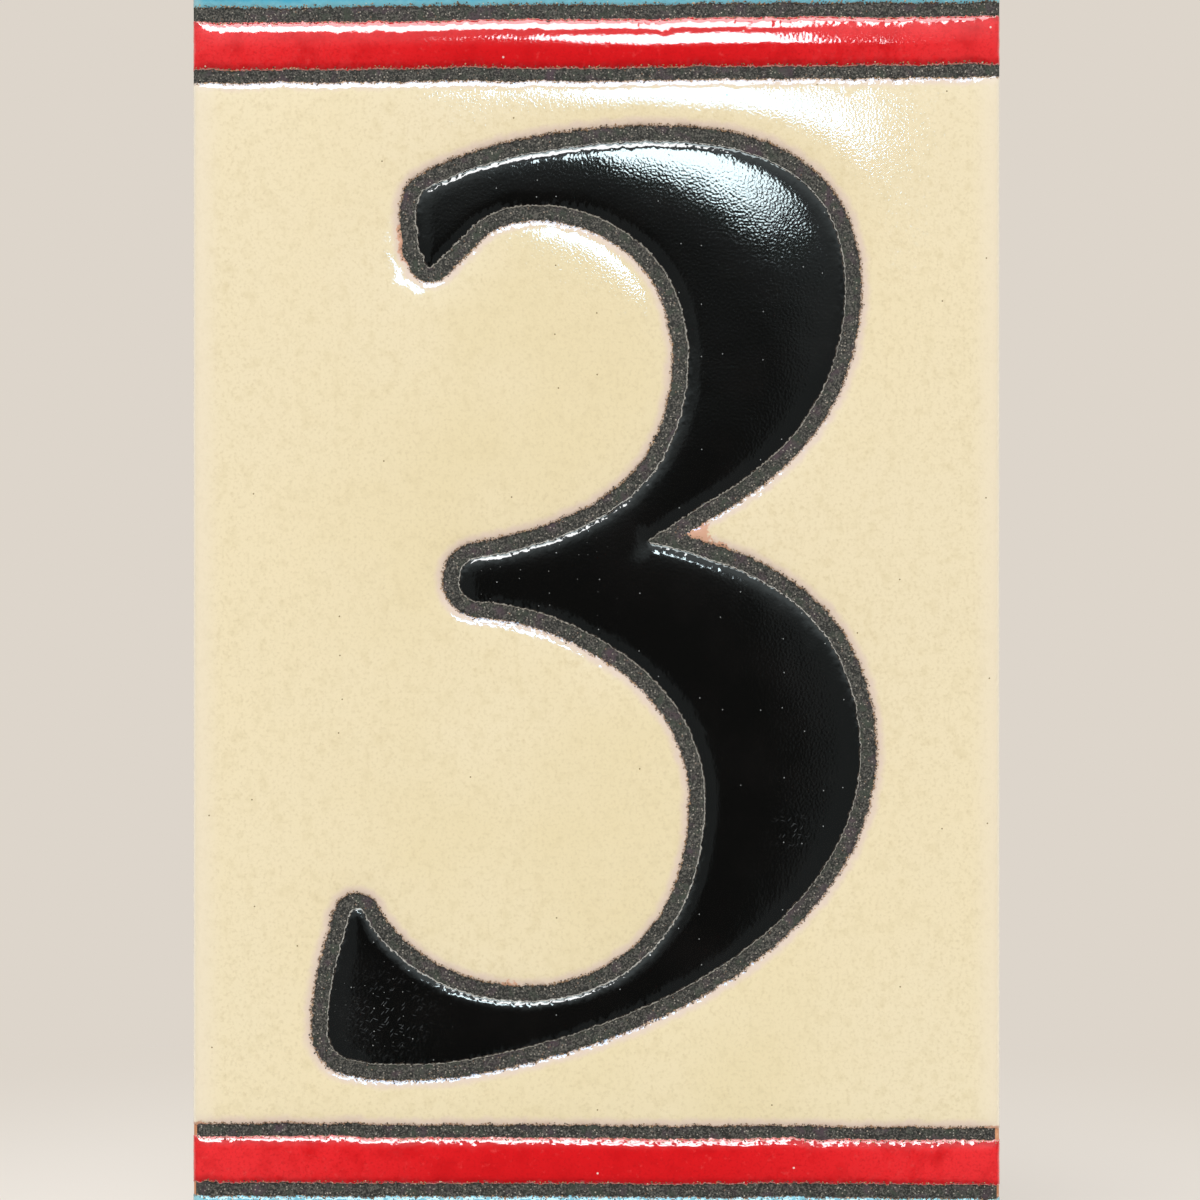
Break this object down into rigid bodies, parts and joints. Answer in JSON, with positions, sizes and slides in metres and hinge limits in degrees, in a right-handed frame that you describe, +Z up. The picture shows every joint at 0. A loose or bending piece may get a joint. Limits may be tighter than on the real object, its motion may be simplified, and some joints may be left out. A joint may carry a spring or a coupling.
{
  "type": "house number tile",
  "caption": "Upright glazed clay house number tile: a raised black numeral 3 on a cream field, ruled red bands and sky-blue ends, grooved flat back for fixing to a wall.",
  "frame": {"origin": "centre of the flat back face that beds on the wall", "axes": "+X across the face to the viewer's right, +Z up the numeral, +Y into the wall; the glazed face looks along -Y"},
  "size_m": [0.075, 0.0089, 0.15],
  "materials": {
    "glazed_tile": "glossy glaze on fired clay",
    "cream_glaze": "gloss",
    "black_glaze": "high gloss",
    "red_glaze": "gloss",
    "blue_glaze": "gloss",
    "drawn_line": "matt, gritty",
    "fired_clay": "matt, porous"
  },
  "bodies": {
    "root": {"number_tile": "glazed_tile"}
  },
  "joints": []
}
